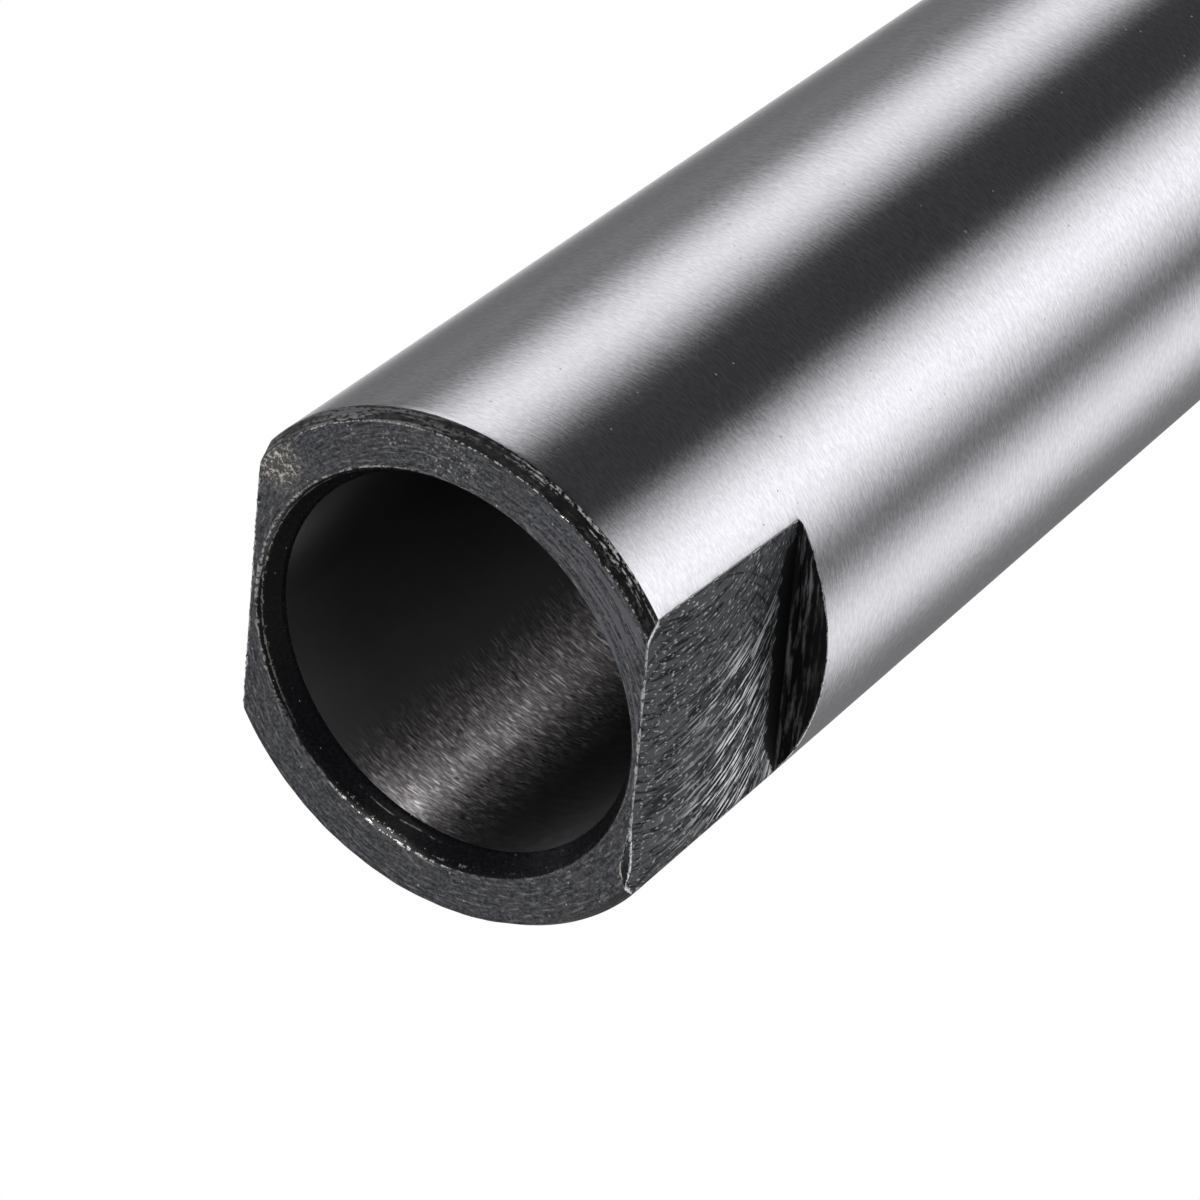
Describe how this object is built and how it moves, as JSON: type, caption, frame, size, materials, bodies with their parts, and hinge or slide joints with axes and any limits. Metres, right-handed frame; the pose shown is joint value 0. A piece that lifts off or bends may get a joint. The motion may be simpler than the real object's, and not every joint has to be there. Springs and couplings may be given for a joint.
{
  "type": "morse taper sleeve",
  "caption": "Steel reducing sleeve: tapered shank with a driving tang, smaller tapered socket, drift slot and spanner flats at the mouth.",
  "frame": {"origin": "centre of the socket's end face, on which the sleeve stands", "axes": "+Z along the axis from the socket face to the tang; +X out of one spanner flat and along the drift slot; the tang's broad faces look along Y"},
  "size_m": [0.0316, 0.0324, 0.14],
  "materials": {
    "tool_steel": "tapers ground to a satin shine, end faces, flats, slot and tang dark as machined and hardened"
  },
  "bodies": {
    "root": {"sleeve": "tool_steel"}
  },
  "joints": []
}
